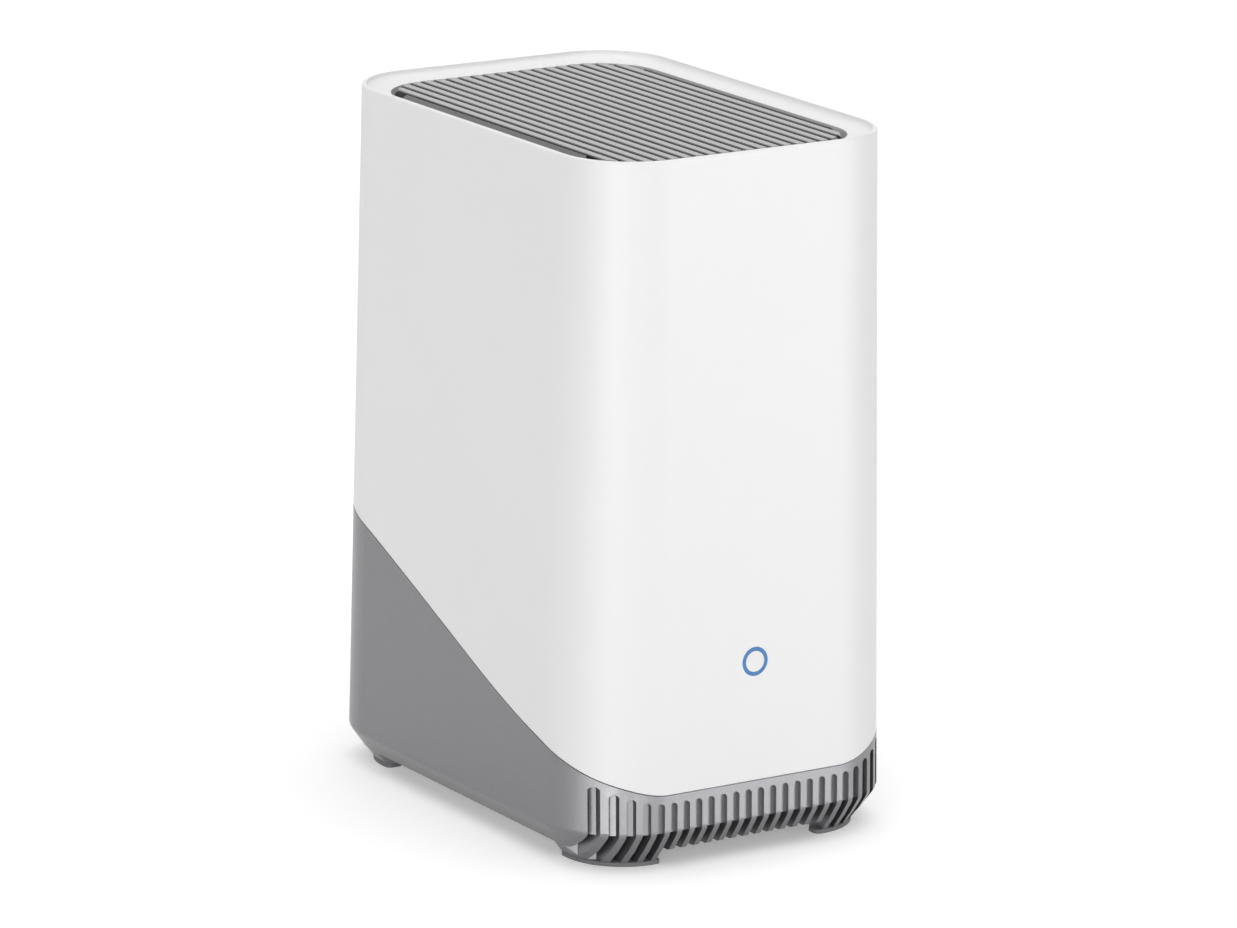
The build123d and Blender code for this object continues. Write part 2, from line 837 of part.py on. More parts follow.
with BuildPart() as inner_frame:
    block(
        (frame_plate_x - frame_plate, frame_front_y, frame_foot_low),
        (frame_plate_x, frame_rear_y, frame_top),
    )
    block(
        (-frame_foot_reach, frame_front_y, frame_foot_low),
        (frame_foot_reach, frame_rear_y, frame_foot_low + frame_plate),
    )
    for y in (frame_front_y + 2 * frame_screw_inset, frame_rear_y - 2 * frame_screw_inset):
        with BuildSketch(Plane.XZ.offset(-y)):
            with BuildLine():
                Polyline(
                    (frame_plate_x - frame_plate, frame_foot_low + frame_plate),
                    (-frame_foot_reach, frame_foot_low + frame_plate),
                    (frame_plate_x - frame_plate, board_low + board_height / 3),
                    close=True,
                )
            make_face()
        extrude(amount=frame_plate)
    for y, z in board_holes:
        rod((frame_plate_x, y, z), to_right, standoff_radius, standoff_length)
        rod(
            (board_back_x, y, z),
            to_left,
            board_screw_radius + screw_gap,
            standoff_length,
            mode=Mode.SUBTRACT,
        )
    for x, y in frame_screw_points:
        rod(
            (x, y, frame_foot_low),
            up,
            board_screw_radius + slide_gap,
            frame_plate,
            mode=Mode.SUBTRACT,
        )

with BuildPart() as frame_screws:
    for x, y in frame_screw_points:
        screw(
            (x, y, frame_foot_low + frame_plate + board_screw_head_height),
            down,
            board_screw_head_radius,
            board_screw_head_height,
            board_screw_radius,
            board_screw_length,
        )

with BuildPart() as main_board:
    block(
        (board_back_x, board_front_y, board_low),
        (board_face_x, board_rear_y, board_low + board_height),
    )
    for y, z in board_holes:
        rod(
            (board_back_x, y, z),
            to_right,
            board_screw_radius + slide_gap,
            board_thickness,
            mode=Mode.SUBTRACT,
        )

with BuildPart() as board_screws:
    for y, z in board_holes:
        screw(
            (board_face_x + board_screw_head_height, y, z),
            to_left,
            board_screw_head_radius,
            board_screw_head_height,
            board_screw_radius,
            board_screw_length,
        )


def on_board(size_shares, place_shares, rise, lift=0.0):
    """A block on the board's face. Returns its centre, length and height."""
    y = board_front_y + board_length * place_shares[0]
    z = board_low + board_height * place_shares[1]
    length = board_length * size_shares[0]
    height = board_height * size_shares[1]
    block(
        (board_face_x + lift, y - length / 2, z - height / 2),
        (board_face_x + lift + rise, y + length / 2, z + height / 2),
    )
    return y, z, length, height


# Chips, shields and power parts
with BuildPart() as processor:
    on_board(processor_size_shares, processor_place_shares, processor_rise)

with BuildPart() as thermal_pad:
    on_board(
        processor_size_shares,
        processor_place_shares,
        thermal_pad_thickness,
        lift=processor_rise,
    )

sink_lift = processor_rise + thermal_pad_thickness
fin_foot_x = board_face_x + sink_lift + heat_sink_plate
with BuildPart() as heat_sink:
    sink_y, sink_z, sink_length, sink_height = on_board(
        heat_sink_size_shares, processor_place_shares, heat_sink_plate, lift=sink_lift
    )
    sink_pins = [
        (
            sink_y + side * (sink_length / 2 - heat_sink_pin_inset),
            sink_z + side * (sink_height / 2 - heat_sink_pin_inset),
        )
        for side in (-1, 1)
    ]
    fin_span = sink_length - 4 * heat_sink_pin_inset
    for index in range(heat_sink_fin_count):
        y = sink_y + (index / (heat_sink_fin_count - 1) - 1 / 2) * fin_span
        block(
            (fin_foot_x, y - heat_sink_fin_width / 2, sink_z - sink_height / 2),
            (
                fin_foot_x + heat_sink_fin_height,
                y + heat_sink_fin_width / 2,
                sink_z + sink_height / 2,
            ),
        )
    for y, z in sink_pins:
        rod(
            (board_face_x + sink_lift, y, z),
            to_right,
            heat_sink_pin_radius + slide_gap,
            heat_sink_plate,
            mode=Mode.SUBTRACT,
        )

with BuildPart() as heat_sink_pins:
    for y, z in sink_pins:
        screw(
            (fin_foot_x + heat_sink_pin_head, y, z),
            to_left,
            heat_sink_pin_head_radius,
            heat_sink_pin_head,
            heat_sink_pin_radius,
            sink_lift + heat_sink_plate,
        )


def shield_can(size_shares, place_shares):
    """A thin pressed cover over a radio: a box with no bottom."""
    y, z, length, height = on_board(size_shares, place_shares, shield_rise)
    half_y = length / 2 - shield_wall
    half_z = height / 2 - shield_wall
    block(
        (board_face_x, y - half_y, z - half_z),
        (board_face_x + shield_rise - shield_wall, y + half_y, z + half_z),
        mode=Mode.SUBTRACT,
    )


with BuildPart() as wifi_shield:
    shield_can(wifi_shield_size_shares, wifi_shield_place_shares)

with BuildPart() as camera_radio_shield:
    shield_can(camera_shield_size_shares, camera_shield_place_shares)

with BuildPart() as memory_chips:
    for place_shares in memory_place_shares:
        on_board(memory_size_shares, place_shares, chip_rise)

with BuildPart() as storage_chip:
    on_board(storage_size_shares, storage_place_shares, chip_rise)

with BuildPart() as power_coils:
    for place_shares in coil_place_shares:
        on_board(coil_size_shares, place_shares, coil_rise)

with BuildPart() as capacitors:
    for along, rise in capacitor_place_shares:
        can_y = board_front_y + board_length * along
        can_z = board_low + board_height * rise
        can_radius = board_length * capacitor_radius_share
        rod((board_face_x, can_y, can_z), to_right, can_radius, capacitor_rise)


# Ports
def socket_depths(depth):
    """Where a port that ends at the bezel begins and ends along Y."""
    return port_face_y - depth, port_face_y


with BuildPart() as ethernet_jack:
    jack_back, jack_front = socket_depths(ethernet_size[0])
    socket_back = jack_front - ethernet_socket[0]
    socket_left = ethernet_centre_x - ethernet_socket[2] / 2
    block(
        (board_face_x, jack_back, ethernet_height - ethernet_size[1] / 2),
        (board_face_x + ethernet_size[2], jack_front, ethernet_height + ethernet_size[1] / 2),
    )
    block(
        (socket_left, socket_back, ethernet_height - ethernet_socket[1] / 2),
        (
            socket_left + ethernet_socket[2],
            jack_front,
            ethernet_height + ethernet_socket[1] / 2,
        ),
        mode=Mode.SUBTRACT,
    )
    block(
        (socket_left + ethernet_socket[2], socket_back, ethernet_height - ethernet_latch[0] / 2),
        (
            socket_left + ethernet_socket[2] + ethernet_latch[1],
            jack_front,
            ethernet_height + ethernet_latch[0] / 2,
        ),
        mode=Mode.SUBTRACT,
    )

with BuildPart() as ethernet_contacts:
    wire_low = socket_back + slide_gap
    wire_high = jack_front - ethernet_socket[0] / 4
    for index in range(ethernet_wire_count):
        z = ethernet_height + (index - (ethernet_wire_count - 1) / 2) * ethernet_wire_pitch
        with BuildSketch(Plane.XY.offset(z - ethernet_wire_width / 2)):
            with BuildLine():
                Polyline(
                    (socket_left, wire_low),
                    (socket_left + ethernet_wire_rise, wire_low),
                    (socket_left + ethernet_wire_width, wire_high),
                    (socket_left, wire_high),
                    close=True,
                )
            make_face()
        extrude(amount=ethernet_wire_width)

with BuildPart() as usb_shell:
    usb_back, usb_front = socket_depths(usb_size[0])
    half_high = usb_size[2] / 2
    half_wide = usb_size[1] / 2
    block(
        (-half_high, usb_back, usb_height - half_wide),
        (half_high, usb_front, usb_height + half_wide),
    )
    block(
        (-half_high + usb_wall, usb_back + usb_wall, usb_height - half_wide + usb_wall),
        (half_high - usb_wall, usb_front, usb_height + half_wide - usb_wall),
        mode=Mode.SUBTRACT,
    )
    block(
        (board_face_x, usb_back, usb_height - usb_riser_width / 2),
        (-half_high, usb_back + usb_riser_width, usb_height + usb_riser_width / 2),
    )

with BuildPart() as usb_tongue:
    tongue_low = usb_tongue_offset - usb_tongue_size[2] / 2
    block(
        (tongue_low, usb_back + usb_wall, usb_height - usb_tongue_size[1] / 2),
        (
            tongue_low + usb_tongue_size[2],
            usb_back + usb_wall + usb_tongue_size[0],
            usb_height + usb_tongue_size[1] / 2,
        ),
    )

with BuildPart() as dc_jack:
    dc_back = port_face_y - dc_size[0]
    dc_front = bezel_back_y - fit_gap
    block(
        (board_face_x, dc_back, dc_height - dc_size[1] / 2),
        (board_face_x + dc_size[2], dc_front, dc_height + dc_size[1] / 2),
    )
    rod((0, dc_front, dc_height), to_front, dc_bore_radius, dc_bore_depth, mode=Mode.SUBTRACT)

with BuildPart() as dc_pin:
    rod((0, dc_front - dc_bore_depth, dc_height), to_rear, dc_pin_radius, dc_pin_length)


# Sync button, which presses the plunger of the switch behind it
sync_flange_back = bezel_back_y - fit_gap - sync_flange_thickness
switch_front_y = sync_flange_back - sync_plunger_out

with BuildPart() as sync_button:
    rod((0, sync_flange_back, sync_height), to_rear, sync_flange_radius, sync_flange_thickness)
    rod(
        (0, sync_flange_back, sync_height),
        to_rear,
        sync_radius,
        bezel_front_y + sync_proud - sync_flange_back,
    )
    fillet(sync_button.edges().group_by(Axis.Y)[-1], sync_crown_rounding)

with BuildPart() as sync_plunger:
    rod((0, sync_flange_back, sync_height), to_front, sync_plunger_radius, 2 * sync_plunger_out)

with BuildPart() as sync_switch:
    block(
        (board_face_x, switch_front_y - sync_switch_size[0], sync_height - sync_switch_size[1] / 2),
        (sync_switch_above, switch_front_y, sync_height + sync_switch_size[1] / 2),
    )
    rod(
        (0, switch_front_y, sync_height),
        to_front,
        sync_plunger_radius + screw_gap,
        sync_plunger_out + 2 * sync_travel,
        mode=Mode.SUBTRACT,
    )


# Speaker and its box
speaker_wire_x = board_face_x + plug_height / 2
flange_top = speaker_box_low - speaker_gasket_thickness
flange_low = flange_top - speaker_flange
basket_top = flange_low + speaker_basket_height
tab_top = basket_top + speaker_tab_thickness
wire_height = tab_top + speaker_wire_radius + screw_gap
speaker_wires = [
    speaker_wire_x + side * speaker_wire_pitch / 2
    for side in (-1, 1)
]

with BuildPart() as speaker_box:
    with BuildSketch(Plane.XY.offset(speaker_box_low)):
        with Locations((0, speaker_y)):
            RectangleRounded(speaker_box_width, speaker_box_depth, speaker_box_rounding)
    extrude(amount=speaker_box_high - speaker_box_low)
    with BuildSketch(Plane.XY.offset(speaker_box_low + speaker_box_wall)):
        with Locations((0, speaker_y)):
            RectangleRounded(
                speaker_box_width - 2 * speaker_box_wall,
                speaker_box_depth - 2 * speaker_box_wall,
                speaker_box_rounding - speaker_box_wall,
            )
    extrude(amount=speaker_box_high - speaker_box_low - 2 * speaker_box_wall, mode=Mode.SUBTRACT)
    for x, y in speaker_lugs:
        inner_x = speaker_box_width / 2 - speaker_box_wall / 2
        side = 1 if x > 0 else -1
        block(
            (min(side * inner_x, x), y - speaker_lug_radius, speaker_box_low),
            (max(side * inner_x, x), y + speaker_lug_radius, speaker_box_low + speaker_box_wall),
        )
        rod((x, y, speaker_box_low), up, speaker_lug_radius, speaker_box_wall)
        rod(
            (x, y, speaker_box_low),
            up,
            board_screw_radius + slide_gap,
            speaker_box_wall,
            mode=Mode.SUBTRACT,
        )
    rod(
        (0, speaker_y, speaker_box_low),
        up,
        speaker_hole_radius,
        speaker_box_wall,
        mode=Mode.SUBTRACT,
    )
    for x in speaker_wires:
        rod(
            (x, speaker_box_rear_y - 2 * speaker_box_wall, wire_height),
            to_rear,
            speaker_wire_radius + screw_gap,
            3 * speaker_box_wall,
            mode=Mode.SUBTRACT,
        )

with BuildPart() as speaker_box_screws:
    for x, y in speaker_lugs:
        screw(
            (x, y, speaker_box_low + speaker_box_wall + board_screw_head_height),
            down,
            board_screw_head_radius,
            board_screw_head_height,
            board_screw_radius,
            board_screw_length,
        )

with BuildPart() as speaker_gasket:
    rod((0, speaker_y, flange_top), up, speaker_radius, speaker_gasket_thickness)
    rod(
        (0, speaker_y, flange_top),
        up,
        speaker_hole_radius,
        speaker_gasket_thickness,
        mode=Mode.SUBTRACT,
    )

with BuildPart() as speaker_frame:
    basket_foot_radius = speaker_hole_radius - slide_gap
    with BuildSketch(Plane.XZ.offset(-speaker_y)):
        with BuildLine():
            Polyline(
                (speaker_cone_radius + slide_gap, flange_low),
                (speaker_radius, flange_low),
                (speaker_radius, flange_top),
                (basket_foot_radius, flange_top),
                (speaker_basket_top_radius, basket_top),
                (speaker_magnet_radius, basket_top),
                (speaker_magnet_radius, tab_top),
                (speaker_dust_cap_radius, tab_top),
                (speaker_dust_cap_radius, basket_top - speaker_basket_wall),
                (speaker_basket_top_radius - speaker_basket_wall, basket_top - speaker_basket_wall),
                (speaker_cone_radius + slide_gap, flange_top),
                close=True,
            )
        make_face()
    revolve(axis=Axis((0, speaker_y, 0), (0, 0, 1)))
    tab_root_y = speaker_y + speaker_basket_top_radius - speaker_tab_thickness
    block(
        (speaker_wire_x - speaker_tab_width / 2, tab_root_y, basket_top),
        (speaker_wire_x + speaker_tab_width / 2, speaker_y + speaker_tab_reach, tab_top),
    )

with BuildPart() as speaker_magnet:
    rod((0, speaker_y, tab_top), up, speaker_magnet_radius - slide_gap, speaker_magnet_height)

with BuildPart() as speaker_cone:
    with BuildSketch(Plane.XZ.offset(-speaker_y)):
        with BuildLine():
            Polyline(
                (0, flange_low + speaker_cone_depth / 2),
                (speaker_dust_cap_radius, flange_low + speaker_cone_depth - speaker_cone_wall),
                (speaker_cone_radius, flange_low),
                (speaker_cone_radius, flange_low + speaker_cone_wall),
                (speaker_dust_cap_radius, flange_low + speaker_cone_depth),
                (0, flange_low + speaker_cone_depth / 2 + speaker_cone_wall),
                close=True,
            )
        make_face()
    revolve(axis=Axis((0, speaker_y, 0), (0, 0, 1)))

with BuildPart() as speaker_plug:
    block(
        (board_face_x, board_front_y, wire_height - plug_height / 2),
        (board_face_x + plug_height, board_front_y + plug_length, wire_height + plug_height / 2),
    )

with BuildPart() as speaker_leads:
    wire_start_y = speaker_y + speaker_basket_top_radius + speaker_tab_thickness
    for x in speaker_wires:
        start = (x, wire_start_y, wire_height)
        rod(start, to_rear, speaker_wire_radius, board_front_y - wire_start_y)


# Ribbon between the ring's board and the main board
ribbon_x = board_face_x + ribbon_socket_depth / 2
ribbon_start_y = board_back_y + ribbon_socket_depth
socket_half = ribbon_width / 2 + ribbon_socket_margin

with BuildPart() as ribbon_sockets:
    block(
        (-plug_length / 2, board_back_y, ring_height - socket_half),
        (plug_length / 2, ribbon_start_y, ring_height + socket_half),
    )
    block(
        (board_face_x, board_front_y, ring_height - socket_half),
        (
            board_face_x + ribbon_socket_depth,
            board_front_y + plug_length,
            ring_height + socket_half,
        ),
    )

with BuildPart() as ring_ribbon:
    run = board_front_y - ribbon_start_y
    with BuildLine(Plane.XY.offset(ring_height)) as ribbon_path:
        FilletPolyline(
            (0, ribbon_start_y),
            (0, ribbon_start_y + run / 3),
            (ribbon_x, ribbon_start_y + 2 * run / 3),
            (ribbon_x, board_front_y),
            radius=ribbon_bend_radius,
        )
    ribbon_end = Plane(origin=(0, ribbon_start_y, ring_height), x_dir=to_right, z_dir=to_rear)
    with BuildSketch(ribbon_end):
        Rectangle(ribbon_thickness, ribbon_width)
    sweep(path=ribbon_path.line)


# Antennas, their carrier and their leads
channel_left = frame_plate_x - frame_plate
arm_low = carrier_top - carrier_arm_thickness
arm_end_x = carrier_arm_reach + antenna_thickness
antenna_left_x = -carrier_arm_reach + antenna_thickness
antenna_right_x = carrier_arm_reach - antenna_thickness
carrier_front_y = carrier_centre_y - carrier_length / 2
carrier_rear_y = carrier_centre_y + carrier_length / 2
rear_antenna_y = carrier_rear_y - carrier_cheek


def upright_antenna(x, y, across, gap=0.0):
    """A thin upright antenna board, or its slot when it is given a gap."""
    half_thin = antenna_thickness / 2 + gap
    half_wide = antenna_width / 2 + gap
    half_x, half_y = (half_wide, half_thin) if across else (half_thin, half_wide)
    mode = Mode.SUBTRACT if gap else Mode.ADD
    block(
        (x - half_x, y - half_y, antenna_low),
        (x + half_x, y + half_y, antenna_low + antenna_height),
        mode=mode,
    )


antenna_places = {
    "left": (antenna_left_x, carrier_centre_y, False),
    "right": (antenna_right_x, carrier_centre_y, False),
    "rear": (frame_plate_x, rear_antenna_y, True),
}

with BuildPart() as antenna_carrier:
    block(
        (channel_left - carrier_cheek, carrier_front_y, carrier_low),
        (frame_plate_x + carrier_cheek, carrier_rear_y, carrier_top),
    )
    block(
        (channel_left - fit_gap, carrier_front_y, carrier_low),
        (frame_plate_x + fit_gap, carrier_rear_y, frame_top),
        mode=Mode.SUBTRACT,
    )
    block(
        (-arm_end_x, carrier_centre_y - carrier_arm_width / 2, arm_low),
        (arm_end_x, carrier_centre_y + carrier_arm_width / 2, carrier_top),
    )
    for x in (antenna_left_x, antenna_right_x):
        block(
            (x - carrier_cheek, carrier_centre_y - antenna_width / 2, arm_low),
            (x + carrier_cheek, carrier_centre_y + antenna_width / 2, carrier_top),
        )
    block(
        (frame_plate_x - antenna_width / 2, rear_antenna_y - carrier_cheek, frame_top),
        (frame_plate_x + antenna_width / 2, rear_antenna_y + carrier_cheek, carrier_top),
    )
    for x, y, across in antenna_places.values():
        upright_antenna(x, y, across, gap=screw_gap)

with BuildPart() as wifi_antenna_left:
    upright_antenna(*antenna_places["left"])

with BuildPart() as wifi_antenna_right:
    upright_antenna(*antenna_places["right"])

with BuildPart() as camera_antenna:
    upright_antenna(*antenna_places["rear"])

lead_x = board_face_x + antenna_plug_size[2] / 2
lead_height = carrier_top + antenna_lead_rise
plug_top = board_low + board_height - antenna_plug_drop + antenna_plug_size[1] / 2
lead_side = carrier_arm_width / 2 + antenna_width / 8
antenna_face = antenna_thickness / 2

with BuildPart() as antenna_plugs:
    lead_ys = (
        carrier_centre_y - lead_side,
        carrier_centre_y + lead_side,
        carrier_centre_y + lead_side + antenna_plug_pitch,
    )
    for y in lead_ys:
        block(
            (board_face_x, y - antenna_plug_size[0] / 2, plug_top - antenna_plug_size[1]),
            (board_face_x + antenna_plug_size[2], y + antenna_plug_size[0] / 2, plug_top),
        )


def antenna_lead(start, corner, end):
    """A round lead with one bend, from an antenna's face to its plug."""
    with BuildLine() as path:
        FilletPolyline(start, corner, end, radius=antenna_lead_bend)
    with BuildSketch(Plane(origin=start, z_dir=Vector(*corner) - Vector(*start))) as section:
        Circle(antenna_lead_radius)
    sweep(section.sketch, path=path.line)


with BuildPart() as antenna_lead_left:
    antenna_lead(
        (antenna_left_x + antenna_face, lead_ys[0], lead_height),
        (lead_x, lead_ys[0], lead_height),
        (lead_x, lead_ys[0], plug_top),
    )

with BuildPart() as antenna_lead_right:
    antenna_lead(
        (antenna_right_x - antenna_face, lead_ys[1], lead_height),
        (lead_x, lead_ys[1], lead_height),
        (lead_x, lead_ys[1], plug_top),
    )

with BuildPart() as antenna_lead_rear:
    antenna_lead(
        (lead_x, rear_antenna_y - antenna_face, lead_height),
        (lead_x, lead_ys[2], lead_height),
        (lead_x, lead_ys[2], plug_top),
    )


pieces = {
    "top_shell": top_shell,
    "base_shell": base_shell,
    "foot_pads": foot_pads,
    "case_screws": case_screws,
    "top_grille": top_grille,
    "light_ring": light_ring,
    "ring_centre": ring_centre,
    "ring_light_board": ring_light_board,
    "ring_board_screws": ring_board_screws,
    "ring_leds": ring_leds,
    "port_bezel": port_bezel,
    "inner_frame": inner_frame,
    "frame_screws": frame_screws,
    "main_board": main_board,
    "board_screws": board_screws,
    "processor": processor,
    "thermal_pad": thermal_pad,
    "heat_sink": heat_sink,
    "heat_sink_pins": heat_sink_pins,
    "wifi_shield": wifi_shield,
    "camera_radio_shield": camera_radio_shield,
    "memory_chips": memory_chips,
    "storage_chip": storage_chip,
    "power_coils": power_coils,
    "capacitors": capacitors,
    "ethernet_jack": ethernet_jack,
    "ethernet_contacts": ethernet_contacts,
    "usb_shell": usb_shell,
    "usb_tongue": usb_tongue,
    "dc_jack": dc_jack,
    "dc_pin": dc_pin,
    "sync_button": sync_button,
    "sync_plunger": sync_plunger,
    "sync_switch": sync_switch,
    "speaker_box": speaker_box,
    "speaker_box_screws": speaker_box_screws,
    "speaker_gasket": speaker_gasket,
    "speaker_frame": speaker_frame,
    "speaker_magnet": speaker_magnet,
    "speaker_cone": speaker_cone,
    "speaker_plug": speaker_plug,
    "speaker_leads": speaker_leads,
    "ribbon_sockets": ribbon_sockets,
    "ring_ribbon": ring_ribbon,
    "antenna_carrier": antenna_carrier,
    "wifi_antenna_left": wifi_antenna_left,
    "wifi_antenna_right": wifi_antenna_right,
    "camera_antenna": camera_antenna,
    "antenna_plugs": antenna_plugs,
    "antenna_lead_left": antenna_lead_left,
    "antenna_lead_right": antenna_lead_right,
    "antenna_lead_rear": antenna_lead_rear,
}

for name, piece in pieces.items():
    piece.part.label = name
    export_step(piece.part, f"parts/{name}.step")
print(len(pieces), "pieces written")
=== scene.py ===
# %% [markdown]
# # A security camera base station, dressed in Blender
#
# The object is a white plastic tower that stands on a grey vented base. Its
# shells, grille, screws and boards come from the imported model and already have
# their true shapes and sizes. This script gives each of them its finish, and
# adds the floor, the lamps and the camera of the studio photograph.

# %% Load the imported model
import json
import math

import bmesh
import bpy
from mathutils import Matrix, Vector


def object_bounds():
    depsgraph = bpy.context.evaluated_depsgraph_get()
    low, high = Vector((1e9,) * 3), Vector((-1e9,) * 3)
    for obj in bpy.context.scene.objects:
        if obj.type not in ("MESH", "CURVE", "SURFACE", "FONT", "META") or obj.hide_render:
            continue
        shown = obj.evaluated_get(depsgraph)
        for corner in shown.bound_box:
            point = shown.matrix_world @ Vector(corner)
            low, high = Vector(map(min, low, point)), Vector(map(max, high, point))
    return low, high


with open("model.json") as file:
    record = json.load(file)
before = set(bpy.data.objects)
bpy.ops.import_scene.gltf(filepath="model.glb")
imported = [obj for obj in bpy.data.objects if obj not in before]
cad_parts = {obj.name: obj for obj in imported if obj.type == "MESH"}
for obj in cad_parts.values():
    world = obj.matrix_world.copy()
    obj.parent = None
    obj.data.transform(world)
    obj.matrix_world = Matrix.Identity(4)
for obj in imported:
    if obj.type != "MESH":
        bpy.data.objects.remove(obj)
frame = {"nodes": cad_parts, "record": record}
cad_box = [[float(value) for value in corner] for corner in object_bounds()]
low, high = (Vector(corner) for corner in cad_box)
print("the object measures", [round(value * 1000, 1) for value in high - low], "mm")

# %% [markdown]
# ## The camera
#
# The photograph was taken with a long lens from a little above, to the left of
# the front. The angles below were fitted to the outline of the tower, so that a
# render falls on the photograph. A long lens far away keeps upright edges almost
# parallel, as they are in the picture.

# %% Place the camera
PHOTO_WIDTH = 1237
AZIMUTH = math.radians(32.48)
ELEVATION = math.radians(14.49)
ROLL = math.radians(0.63)
FOCAL_PIXELS = 6842.7
SENSOR_WIDTH = 36.0
DISTANCE_SHARE = 9.7168
AIM_SHARES = (0.0089, -0.0207)

tall = high.z - low.z
back = Vector((
    -math.sin(AZIMUTH) * math.cos(ELEVATION),
    -math.cos(AZIMUTH) * math.cos(ELEVATION),
    math.sin(ELEVATION),
))
right = Vector((math.cos(AZIMUTH), -math.sin(AZIMUTH), 0))
above = back.cross(right)
place = (
    Vector((0, 0, tall / 2))
    + right * tall * AIM_SHARES[0]
    + above * tall * AIM_SHARES[1]
    + back * tall * DISTANCE_SHARE
)
turned_right = right * math.cos(ROLL) + above * math.sin(ROLL)
turned_above = above * math.cos(ROLL) - right * math.sin(ROLL)

camera_data = bpy.data.cameras.new("photo_camera")
camera_data.sensor_fit = "HORIZONTAL"
camera_data.sensor_width = SENSOR_WIDTH
camera_data.lens = FOCAL_PIXELS / PHOTO_WIDTH * SENSOR_WIDTH
camera_data.clip_end = 50
camera = bpy.data.objects.new("photo_camera", camera_data)
axes = Matrix((turned_right, turned_above, back)).transposed()
camera.matrix_world = Matrix.Translation(place) @ axes.to_4x4()
bpy.context.scene.collection.objects.link(camera)
bpy.context.scene.camera = camera
print("the lens is", round(camera_data.lens, 1), "mm")

# %% [markdown]
# ## Helpers for materials
#
# A colour is easiest to choose as the hex value that a picture shows, but the
# shaders want linear light, so one function turns one into the other. Another adds
# a node to a material or to the world, sets its sockets and links them, which keeps
# each recipe short enough to read at a glance. The record gives each piece a slot,
# and each slot gets a material named for what the real piece is made of.

# %% Helpers: a colour, and a node with its links
def linear(hex_colour):
    """The linear colour of an sRGB hex value."""
    channels = [int(hex_colour[i:i + 2], 16) / 255 for i in (1, 3, 5)]
    return tuple(
        c / 12.92 if c <= 0.04045 else ((c + 0.055) / 1.055) ** 2.4 for c in channels
    ) + (1.0,)


def darker(colour, share):
    """A linear colour at a share of its light."""
    return tuple(c * share for c in colour[:3]) + (1.0,)


def link(owner, source, output, target, socket):
    """Joins two nodes of a material or world."""
    owner.node_tree.links.new(source.outputs[output], target.inputs[socket])


def add_node(owner, kind, links=(), **settings):
    """Adds a node to a material or world. A setting with a capital letter is one of
    its sockets, and each link is (socket, source node, its output)."""
    node = owner.node_tree.nodes.new(kind)
    for name, value in settings.items():
        if name[0].isupper():
            node.inputs[name.replace("_", " ")].default_value = value
        else:
            setattr(node, name, value)
    for socket, source, output in links:
        link(owner, source, output, node, socket)
    return node


def new_material(name):
    """A new material with nodes, and its Principled shader."""
    material = bpy.data.materials.new(name)
    material.use_nodes = True
    return material, material.node_tree.nodes["Principled BSDF"]


MM = 0.001
# A Mix node finds its colour sockets by number, since its names repeat.
MIX_A, MIX_B, MIX_RESULT = 6, 7, 2
materials = {}
print("helpers are ready")

# %% [markdown]
# ## Moulded ABS
#
# The shells are injection moulded ABS from a spark-eroded mould, which leaves a
# fine even grain that kills sharp reflections. The grain of the real mould is
# about 0.05 mm, too fine for the picture, so it is drawn at about 0.35 mm with a
# very small height. A second, slow noise moves the roughness by a few hundredths,
# as the flow of the plastic does, and the colour by a step or two. The plastics
# inside are moulded in the same way, so they share this recipe.

# %% Moulded plastics
GRAIN = 0.35 * MM
FLOW = 38 * MM
FLOW_SHADE = 0.97
FLOW_GLOSS = 0.04
PLASTIC_IOR = 1.53


def moulded_plastic(slot, real_name, colour, roughness, grain_height=0.012):
    """Satin moulded plastic with a slow drift in its gloss and a fine grain, whose
    height is in millimetres."""
    material, shader = new_material(real_name)
    place_on = add_node(material, "ShaderNodeTexCoord")
    grain = add_node(
        material, "ShaderNodeTexNoise", [("Vector", place_on, "Object")],
        Scale=1 / GRAIN, Detail=2.0, Roughness=0.6,
    )
    flow = add_node(
        material, "ShaderNodeTexNoise", [("Vector", place_on, "Object")],
        Scale=1 / FLOW, Detail=3.0, Roughness=0.5,
    )
    drift = add_node(
        material, "ShaderNodeMapRange", [("Value", flow, "Fac")],
        To_Min=roughness - FLOW_GLOSS, To_Max=roughness + FLOW_GLOSS,
    )
    link(material, drift, "Result", shader, "Roughness")
    shade = add_node(material, "ShaderNodeMix", [("Factor", flow, "Fac")], data_type="RGBA")
    shade.inputs[MIX_A].default_value = darker(linear(colour), FLOW_SHADE)
    shade.inputs[MIX_B].default_value = linear(colour)
    link(material, shade, MIX_RESULT, shader, "Base Color")
    bump = add_node(
        material, "ShaderNodeBump", [("Height", grain, "Fac")],
        Strength=0.25, Distance=grain_height * MM,
    )
    link(material, bump, "Normal", shader, "Normal")
    shader.inputs["IOR"].default_value = PLASTIC_IOR
    materials[slot] = material


# White ABS of the shell: satin, so the corner takes a broad sheen and mirrors nothing.
moulded_plastic("white_shell", "white_moulded_abs", "#F1F1F1", roughness=0.50)
# White polycarbonate in the middle of the ring: it looks like the shell around it.
moulded_plastic("ring_white", "white_moulded_polycarbonate", "#F1F1F1", roughness=0.50)
# Grey ABS of the sync button: a little glossier than the shell, so its rim shows.
moulded_plastic("button_grey", "grey_moulded_abs", "#A9A9AB", roughness=0.45)
# Black PBT of the rear panel and its sockets: satin, so their edges show in the dark.
moulded_plastic("port_black", "black_moulded_pbt", "#1D1D1F", roughness=0.50)
# Dark polycarbonate of the inner frame and the antenna carrier: plain and dull.
moulded_plastic("frame_plastic", "dark_moulded_polycarbonate", "#2A2A2C", roughness=0.55)
# Black ABS of the speaker's box and frame and the heat sink's pins: a shade darker.
moulded_plastic("speaker_black", "black_moulded_abs", "#1B1B1D", roughness=0.55)
